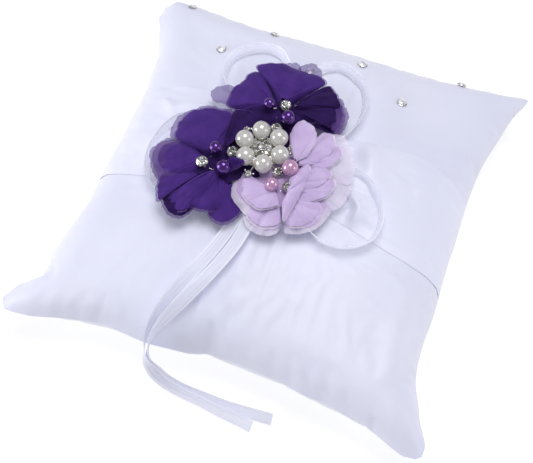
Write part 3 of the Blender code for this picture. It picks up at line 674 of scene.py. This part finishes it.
def sash_folds(x, t):
    """Height of the sash over the cover: gathers run out from the brooch and die away to the seams."""
    away = abs(x - MIDDLE[0]) / 78
    gather = exp(-(away / 0.62) ** 2)
    side = np.where(x < MIDDLE[0], 1.0, -1.0)
    folds = (0.5 + 0.5 * sin(TURN * (2.6 * t + 0.22 * side * away + 0.1 * side)))
    small = 0.5 + 0.5 * sin(TURN * (5.3 * t - 0.5 * away + 0.3 * side) + 1.0)
    return 0.5 + gather * (2.3 * folds ** 1.5 + 0.7 * small) + 0.5 * (1 - gather) * folds * (1 - away)


def make_sash():
    """A strip of satin across the pillow, caught in both side seams and drawn together under the brooch."""
    rows, columns = 161, 41
    s = np.linspace(-1, 1, rows)[:, None] * np.ones(columns)
    t = np.ones(rows)[:, None] * np.linspace(0, 1, columns)
    x = s * SASH_HALF
    back = np.interp(x, *np.array(SASH_BACK, float).T)
    front = np.interp(x, *np.array(SASH_FRONT, float).T)
    kernel = np.ones(SASH_SMOOTHING) / SASH_SMOOTHING
    margin = SASH_SMOOTHING // 2
    for hem in (back, front):
        hem[margin:-margin] = np.apply_along_axis(lambda c: np.convolve(c, kernel, "valid"), 0, hem)
    y = front + (back - front) * t
    left, right = (np.interp(y, seam[:, 1], seam[:, 0]) for seam in (COVER_GRID[0], COVER_GRID[-1]))
    x = np.where(s < 0, -s * left, s * right) * 0.999
    from_hem = np.minimum(t, 1 - t) * SASH_WIDTH
    held = 1 - exp(-from_hem / HEM_RISE)
    inner = smoothstep((1 - abs(s)) / 0.25)
    lifted = sash_folds(x, t) * held - relief(SASH_DENTS, x, y) * held * inner
    z = on_cover(x * 0.997, y) + SASH_CLOTH + np.maximum(0.04, lifted)
    points = stack([x, y, z], -1).reshape(-1, 3)
    sash = add_piece("satin_sash_gathered", points, grid_faces(rows, columns, flip=True), SATIN_SASH,
                     "satin_white", "satin_sash", thickness=SASH_CLOTH)


# --- bow ---

def ribbon(name, route, widths, width, replaced, curl, cloths, lines=9):
    """A sheer ribbon with denser woven edges along a route, its width along the given directions."""
    across, out = frames(route, widths)
    t = np.linspace(-1, 1, lines)
    bend = curl * (1 - t ** 2)
    points = (route[:, None] + across[:, None] * (t * width / 2)[None, :, None]
              + out[:, None] * bend[None, :, None])
    rows = len(route)
    faces = grid_faces(rows, lines)
    piece = add_piece(name, points.reshape(-1, 3), faces, cloths, "organza_white", replaced,
                      thickness=RIBBON_CLOTH)
    long = lengths_along(route) / RIBBON_WIDTH
    place = stack([np.tile((t + 1) / 2, rows), np.repeat(long, lines)], -1)
    piece.data.uv_layers.new(name="along").data.foreach_set("uv", place[np.ravel(faces)].ravel())
    edge = np.zeros((rows - 1, lines - 1), int)
    edge[:, [0, -1]] = 1
    piece.data.polygons.foreach_set("material_index", edge.ravel())
    return piece


def between(stops, place):
    """The vector that a list of (place, vector) stops gives at places between them."""
    at = [stop for stop, _ in stops]
    return stack([np.interp(place, at, [v[k] for _, v in stops]) for k in range(len(stops[0][1]))], -1)


def make_tails():
    for name, end in TAIL_ENDS.items():
        side = -1 if name == "ribbon_tail_left" else 1
        middle = smooth_route(TAIL_ROUTE + [end], ROUTE_STEPS)
        places = np.arange(len(middle)) / ROUTE_STEPS
        widths = between(TAIL_TWIST, places)
        across, out = frames(middle, widths)
        spread = between(list(enumerate(TAIL_SPREAD)), places) * side
        route = middle + across * spread[:, :1] + out * spread[:, 1:]
        piece = ribbon(name + "_organza", route, between(TAIL_LEAN, places), RIBBON_WIDTH, name,
                       0.25 * side, [ORGANZA_TAIL, ORGANZA_TAIL_EDGE])


def make_loops():
    for name, points in LOOP_ROUTES.items():
        flat = smooth_route([(x, y, 0) for x, y in points], ROUTE_STEPS)
        away = np.hypot(*(flat[:, :2] - MIDDLE).T)
        settled = np.clip((away - 16) / 15, 0, 1)
        flat[:, 2] = on_cover(flat[:, 0], flat[:, 1]) + LOOP_NEAR + (LOOP_FAR - LOOP_NEAR) * settled
        centre = flat[:, :2].mean(0)
        outward = np.zeros_like(flat)
        outward[:, :2] = unit(flat[:, :2] - centre)
        lean = 0.25 + 0.3 * sin(np.linspace(0, np.pi, len(flat)))
        widths = UP * cos(lean)[:, None] + outward * sin(lean)[:, None]
        ribbon(name + "_organza", flat, widths, RIBBON_WIDTH * 0.9, name, 0.4, [ORGANZA, ORGANZA_EDGE])


def make_knot():
    """The bow's knot: a flattened ball of wound ribbon."""
    rings, spokes = 13, 48
    phi = np.linspace(0.02, np.pi - 0.02, rings)[:, None]
    turn = circle(spokes)[None, :]
    wound = 1 + 0.06 * sin(9 * turn + 2 * cos(phi))
    low, high = np.array(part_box("ribbon_knot")) / MM
    middle, half = (low + high) / 2, (high - low) / 2
    points = stack([middle[0] + half[0] * sin(phi) * cos(turn) * wound,
                    middle[1] + half[1] * sin(phi) * sin(turn) * wound,
                    middle[2] + half[2] * cos(phi) + 0 * turn], -1)
    add_piece("ribbon_knot_wound", *closed_rings(points), ORGANZA_EDGE, "organza_white", "ribbon_knot")


def closed_rings(points):
    """Faces over rings of points from the top down, with a centre point closing each end."""
    rings, spokes = points.shape[:2]
    flat = np.vstack([points.reshape(-1, 3), points[0].mean(0), points[-1].mean(0)])
    faces = []
    for i in range(rings - 1):
        for k in range(spokes):
            n = (k + 1) % spokes
            faces.append([i * spokes + k, (i + 1) * spokes + k, (i + 1) * spokes + n, i * spokes + n])
    top, bottom = rings * spokes, rings * spokes + 1
    for k in range(spokes):
        n = (k + 1) % spokes
        faces.append([top, k, n])
        faces.append([bottom, (rings - 1) * spokes + n, (rings - 1) * spokes + k])
    return flat, faces


def make_felt():
    turn = circle(60)
    cut = 1 + 0.008 * sin(7 * turn) + 0.006 * sin(13 * turn + 1)
    rings = []
    for reach, lift in ((5, 1.2), (10, 1.2), (14.6, 1.15), (15, 0.8), (15, 0.35), (14.6, 0), (10, 0), (5, 0)):
        x, y = MIDDLE[0] + reach * cut * cos(turn), MIDDLE[1] + reach * cut * sin(turn)
        rings.append(stack([x, y, on_cover(x, y) + 2.3 + lift], -1))
    add_piece("felt_base_cut", *closed_rings(np.array(rings)), FELT, "felt_white", "felt_base")


# --- flowers ---

def petal(root, outline, root_z, rim_z, crown, folds, state, share, lift):
    """Grid of points of one petal: a fan from its root to its outline, crowned, creased and ruffled."""
    rows, columns = 18, 73
    rng = np.random.default_rng(state)
    rim = smooth_route([(*p, 0) for p in outline], 12)[:, :2]
    length = lengths_along(rim)
    place = np.linspace(0, length[-1], columns)
    rim = stack([np.interp(place, length, rim[:, k]) for k in (0, 1)], -1)
    across = np.linspace(-1, 1, columns)
    r = np.linspace(0, 1, rows)[:, None] ** 0.85
    phases = rng.uniform(0, TURN, 6)
    waves = (sin(7 * across + phases[0]) + 0.6 * sin(13 * across + phases[1])
             + 0.35 * sin(27 * across + phases[2]))
    root = np.array(root, float)
    reach = rim - root
    size = np.linalg.norm(reach, axis=1).mean()
    start = root + reach * 0.06
    jag = 1 + (0.012 * waves + 0.006 * sin(45 * across + phases[3])) * share
    xy = start + (root + reach * (share * jag)[:, None] - start) * r[..., None]
    z = root_z + (rim_z - root_z) * r ** 1.6 + lift
    z = z + crown * (1 - abs(across) ** 3) * sin(np.pi * np.minimum(1, 0.15 + r * 0.8)) ** 0.8
    for at, width, depth in folds:
        near = exp(-abs(across - at) / width)
        z = z - depth * near * smoothstep(r / 0.3) * (1 - 0.55 * r)
    ruffle = 0.024 * size * r ** 3 * waves
    fine = 0.14 * r ** 2 * sin(19 * across + phases[4] + 3 * r)
    fine = fine + 0.05 * r * sin(61 * across + phases[5])
    z = z - RIM_CURL * smoothstep((r - 0.86) / 0.14) * (0.4 + 0.6 * sin(5 * across + phases[3]))
    z = z + ruffle + fine + 0.5 * across * r
    return np.concatenate([xy, z[..., None]], -1)


def make_flower_layer(name, petals, cloths, slot, seed):
    """One layer of petals: each has a dense double body and a sheer single rim that reaches past it."""
    rng = np.random.default_rng(seed)
    # The heart discs take the third, darker chiffon: painted shade round the beads and the brooch
    grids = [(heart(*disc, rng), 2, True) for disc in HEART_DISCS.get(name, [])]
    for root, outline, root_z, rim_z, crown, folds, *marks in petals:
        state = rng.integers(1 << 30)
        share = DENSE_SHARE_WIDE_RIM if WIDE in marks else DENSE_SHARE
        top = petal(root, outline, root_z, rim_z, crown, folds, state, share, 0.35)
        under = petal(root, outline, root_z, rim_z - 0.5, crown, folds, state, 1.0, -0.25)
        if crown > SHEER_CROWN:
            # Marked petals take the darker chiffon (number 2) as painted shade; the others take the plain
            # double body (0)
            grids += [(top, 2 if PAINTED_SHADE in marks else 0, False), (under[9:], 1, False)]
        else:
            grids.append((under, 1, False))
    points, faces, kinds = joined([(grid.reshape(-1, 3), grid_faces(*grid.shape[:2], flip=flip), kind)
                                   for grid, kind, flip in grids])
    piece = add_piece(name + "_chiffon", points, faces, cloths, slot, name, thickness=PETAL_CLOTH)
    piece.data.polygons.foreach_set("material_index", kinds)


def heart(centre, radius, height, rng):
    """The gathered chiffon between the petals' roots, under the beads and the brooch."""
    rows, columns = 12, 61
    turn = np.linspace(0, TURN, columns)
    r = np.linspace(0.02, 1, rows)[:, None]
    phase = rng.uniform(0, 6, 3)
    reach = radius * (1 + 0.08 * sin(3 * turn + phase[0]) + 0.05 * sin(5 * turn + phase[1]))
    x = centre[0] + reach * cos(turn) * r
    y = centre[1] + reach * sin(turn) * r
    z = height - 1.6 * r ** 2 + 0.5 * r * sin(8 * turn + phase[2]) + 0.3 * r * sin(13 * turn + phase[0])
    out = np.hypot(x - MIDDLE[0], y - MIDDLE[1])
    under_brooch = np.minimum(z, 60 + 0.3 * np.maximum(0, out - 13))
    return stack([x, y, np.where(out < 17, under_brooch, z)], -1)


def make_flowers():
    for seed, (name, petals) in enumerate(PETALS.items()):
        lilac = name.startswith("flower_right")
        # The third chiffon of each flower is its darker copy, painted shade
        cloths = [LILAC, LILAC_SHEER, LILAC_PAINTED_SHADE] if lilac else [PURPLE, PURPLE_SHEER, PURPLE_PAINTED_SHADE]
        slot = "chiffon_lilac" if lilac else "chiffon_purple"
        make_flower_layer(name, petals, cloths, slot, FIRST_PETAL_SEED + seed)


# --- beads, stones and brooch ---

def bead_points(centre, radius, hole_axis):
    """A drilled bead: a ball whose two poles dip into a small hole."""
    rings, spokes = 25, 40
    phi = np.linspace(0, np.pi, rings)[:, None]
    turn = circle(spokes)[None, :]
    hole = 0.13
    around = np.maximum(sin(phi), hole)
    up = cos(phi) * np.where(sin(phi) < hole, 0.9, 1)
    a = unit(np.array(hole_axis, float))
    b = unit(np.cross(a, (0.3, 0.2, 1.0)))
    c = np.cross(a, b)
    return np.array(centre, float) + radius * (a * up[..., None] + b * (around * cos(turn))[..., None]
                                               + c * (around * sin(turn))[..., None])


def upright(axis):
    """The unit vector of an axis and two unit vectors square to it."""
    a = unit(np.array(axis, float))
    b = unit(np.cross(a, (0.31, 0.17, 0.9) if abs(a[2]) < 0.9 else (1.0, 0.2, 0.1)))
    return a, b, np.cross(a, b)


def gem_points(centre, radius, height, axis=(0, 0, 1), sides=8, turn=0.0):
    """A faceted stone: flat table, sloping crown, girdle and a narrower back."""
    a, b, c = upright(axis)
    rings = []
    for reach, lift, shift in ((0.5, 1, 0.5), (0.82, 0.78, 0), (1, 0.5, 0.5), (0.96, 0.42, 0.5), (0.3, 0, 0)):
        angle = turn + TURN * (np.arange(sides) + shift) / sides
        rings.append(a * (lift * height) + b * (radius * reach * cos(angle))[:, None]
                     + c * (radius * reach * sin(angle))[:, None])
    return np.array(centre, float) + rings


def torus_points(centre, radius, thick, axis=(0, 0, 1), spokes=24, around=8):
    """A wire ring, as rings of points; the first and last ring meet."""
    a, b, c = upright(axis)
    turns = circle(around)[:, None]
    found = []
    for angle in np.linspace(0, TURN, spokes + 1):
        out = b * cos(angle) + c * sin(angle)
        found.append(out * (radius + thick * cos(turns)) - a * thick * sin(turns))
    return np.array(centre, float) + found


def dome_points(centre, steps, spokes):
    """Rings round a centre, each a radius and a height over it."""
    angle = circle(spokes)
    rings = [stack([r * cos(angle), r * sin(angle), np.full(spokes, h)], -1) for r, h in steps]
    return np.array(centre, float) + rings


def stone_cluster(centre, radius, height, count, seed):
    """Rhinestones set round a silver dome, one on top."""
    rng = np.random.default_rng(seed)
    centre = np.array(centre, float)
    parts = [(dome_points(centre, [(reach * radius, lift * height) for reach, lift in (
        (0.2, 0.62), (0.45, 0.55), (0.6, 0.35), (0.62, 0.15), (0.55, 0.0))], 16), 1)]
    size = radius * 0.36
    top = centre + (0, 0, 0.66 * height)
    parts.append((gem_points(top, size * 1.05, height * 0.42, turn=rng.uniform(0, 1)), 0))
    parts.append((torus_points(centre + (0, 0, 0.8 * height), size * 1.08, 0.07 * radius), 1))
    for k in range(count):
        angle = TURN * k / count + rng.uniform(-0.1, 0.1)
        axis = unit(np.array([cos(angle), sin(angle), rng.uniform(0.7, 1.3)]))
        place = centre + (cos(angle) * radius * 0.62, sin(angle) * radius * 0.62, height * 0.36)
        parts.append((gem_points(place, size * 0.95, size * 0.95, axis, turn=rng.uniform(0, 1)), 0))
        parts.append((torus_points(place + axis * size * 0.45, size * 1.0, 0.06 * radius, axis, 16, 6), 1))
    return parts


def add_stones(name, parts, replaced, stone=CRYSTAL):
    points, faces, kinds = joined([(*closed_rings(rings), kind) for rings, kind in parts])
    piece = add_piece(name, points, faces, [stone, SILVER], "crystal", replaced, smooth=False)
    piece.data.polygons.foreach_set("material_index", kinds)


def add_bead(name, centre, radius, material, slot, replaced, hole_axis):
    add_piece(name, *closed_rings(bead_points(centre, radius, hole_axis)), material, slot, replaced)


def tube_points(route, thick, around):
    across, out = frames(route, np.tile(UP, (len(route), 1)))
    turns = circle(around)
    return (route[:, None] + thick * (across[:, None] * cos(turns)[None, :, None]
                                      + out[:, None] * sin(turns)[None, :, None]))


def add_wire(name, route, replaced):
    """Silver wire in gentle turns under the beads of a flower's heart."""
    wire = tube_points(smooth_route(route, 8), WIRE_RADIUS, 10)
    add_piece(name, *closed_rings(wire), SILVER, "silver_metal", replaced)


def make_hearts():
    for seed, (name, places) in enumerate(HEARTS.items()):
        pink = name == "flower_right"
        colour, slot = (PEARL_PINK, "pearl_pink") if pink else (PEARL_PURPLE, "pearl_purple")
        under = []
        for size in ("small", "large"):
            x, y, radius = places[size]
            radius = radius * FULLER
            add_bead(f"{name}_{size}_pearl_bead", (x, y, BEADS_Z + radius), radius, colour, slot,
                     f"{name}_{size}_pearl", (x - places["stone"][0], y - places["stone"][1], 0.4))
            under.append((x, y, WIRE_Z))
        x, y, radius = places["stone"]
        stones = stone_cluster((x, y, BEADS_Z), radius, 1.7 * radius, 8, FIRST_STONE_SEED + seed)
        add_stones(f"{name}_stone_set", stones, f"{name}_stone")
        under.insert(1, (x, y, WIRE_Z))
        add_wire(f"{name}_wire_bent", under, f"{name}_wire")


def make_brooch():
    for k in range(6):
        turn = RING_TURN + k * TURN / 6
        centre = spot(turn, PEARL_RING, SEAT_Z + PEARL_RADIUS)
        add_bead(f"brooch_pearl_{k + 1}_bead", centre, PEARL_RADIUS, PEARL_WHITE, "pearl_white",
                 f"brooch_pearl_{k + 1}", (-sin(turn), cos(turn), 0.2))
        centre = spot(turn + TURN / 12, EDGE_RING, SEAT_Z)
        stones = stone_cluster(centre, EDGE_SIZES[k], 1.35 * EDGE_SIZES[k], 7, FIRST_EDGE_SEED + k)
        add_stones(f"brooch_edge_stone_{k + 1}_set", stones, f"brooch_edge_stone_{k + 1}")
    x, y = MIDDLE
    parts = []
    for k in range(6):
        turn = RING_TURN + (k + 0.5) * TURN / 6
        place = spot(turn, 2.9, SEAT_Z + 2.2)
        parts.append((gem_points(place, 1.25, 1.6, (0.25 * cos(turn), 0.25 * sin(turn), 1), turn=k), 0))
        parts.append((torus_points(np.add(place, (0, 0, 0.8)), 1.3, 0.17), 1))
    parts.append((gem_points((x, y, SEAT_Z + 3), 1.6, 2.2), 0))
    parts.append((torus_points((x, y, SEAT_Z + 4.0), 1.65, 0.2), 1))
    dome = dome_points((x, y, SEAT_Z), ((1.0, 3.2), (2.6, 2.7), (3.9, 1.6), (4.1, 0.4), (3.6, 0.0)), 24)
    parts.append((dome, 1))
    add_stones("brooch_centre_stone_cluster", parts, "brooch_centre_stone")


def make_setting():
    """The brooch's plate with a cup under each pearl and a beaded wire round its edge."""
    edge = PEARL_RING + 0.8 * cos(6 * (circle(72) - RING_TURN))
    plate = ((3, 61.4), (edge - 0.3, 61.4), (edge, 61.2), (edge, 60.5), (edge - 0.3, 60.2), (4, 60.2),
             (3, 58.9))
    parts = [dome_points((*MIDDLE, 0), plate, 72)]
    for k in range(6):
        turn = RING_TURN + (k + 0.5) * TURN / 6
        arm = [spot(turn, 8, 60.9), spot(turn, 11, 61.1), spot(turn, EDGE_RING, 61.6)]
        parts.append(tube_points(smooth_route(arm, 4), 0.5, 8))
    for k in range(6):
        turn = RING_TURN + k * TURN / 6
        parts.append(torus_points(spot(turn, PEARL_RING, 62.2), 2.6, 0.35))
        for side in (-0.36, 0.36):
            for reach, size in ((12.9, 0.55), (5.4, 0.5)):
                parts.append(bead_points(spot(turn + side, reach, 62.6), size, UP)[::3])
    points, faces, _ = joined([(*closed_rings(rings), 0) for rings in parts])
    add_piece("brooch_setting_silver", points, faces, SILVER, "silver_metal", "brooch_setting")


def make_cover_stones():
    for k, (x, y) in enumerate(COVER_STONES):
        slope_x = (cover_z(x + 1.5, y) - cover_z(x - 1.5, y)) / 3
        slope_y = (cover_z(x, y + 1.5) - cover_z(x, y - 1.5)) / 3
        axis = unit(np.array([-slope_x, -slope_y, 1.0]))
        place = np.array([x, y, cover_z(x, y)]) + axis * 0.05
        parts = [(gem_points(place, 2.3, 1.6, axis, sides=10, turn=k), 0),
                 (torus_points(place + axis * 0.45, 2.35, 0.2, axis, 30), 1)]
        add_stones(f"cover_stone_{k + 1}_set", parts, f"cover_stone_{k + 1}", CRYSTAL_FLAT)


# --- stage ---

def make_camera():
    lens = bpy.data.cameras.new("camera")
    lens.lens, lens.sensor_width = 71.83, 36
    camera = add_object("camera", lens)
    camera.location = (0.08223, -0.24409, 0.46953)
    aim = Vector((-0.0005, -0.0191, 0.024)) - camera.location
    camera.rotation_euler = aim.to_track_quat("-Z", "Y").to_euler()
    bpy.context.scene.camera = camera


def make_floor():
    mesh = bpy.data.meshes.new("floor")
    level = -0.0003
    mesh.from_pydata([(-3, -3, level), (3, -3, level), (3, 3, level), (-3, 3, level)], [], [(0, 1, 2, 3)])
    made, _ = shader("floor_pale", Base_Color=(0.3, 0.3, 0.3, 1), Roughness=0.8, Emission_Color=(1, 1, 1, 1),
                     Emission_Strength=0.76)
    mesh.materials.append(made)
    add_object("floor", mesh)


def softbox(name, direction, distance, width, height, power):
    light = bpy.data.lights.new(name, "AREA")
    light.shape, light.size, light.size_y = "RECTANGLE", width, height
    light.energy = power
    lamp = add_object(name, light)
    away = Vector(direction).normalized()
    lamp.location = away * distance
    lamp.rotation_euler = (-away).to_track_quat("-Z", "Y").to_euler()


def make_lights():
    softbox("softbox_top", (0.024, 0.155, 0.988), 0.9, 0.45, 0.45, 4.2)
    softbox("softbox_left", (-0.89, -0.40, 0.25), 0.8, 0.35, 0.5, 3.0)
    softbox("softbox_right", (0.914, 0.02, 0.404), 0.8, 0.3, 0.4, 0.9)
    world = bpy.data.worlds.new("studio")
    world.use_nodes = True
    background = world.node_tree.nodes["Background"].inputs
    background["Color"].default_value = (0.93, 0.94, 1, 1)
    background["Strength"].default_value = 0.4
    bpy.context.scene.world = world
    bpy.context.scene.view_settings.view_transform = "Standard"


make_camera()
make_tails()
COVER_GRID, COVER = make_covers()
make_sash()
make_loops()
make_knot()
make_felt()
make_flowers()
make_hearts()
make_brooch()
make_setting()
make_cover_stones()
make_floor()
make_lights()
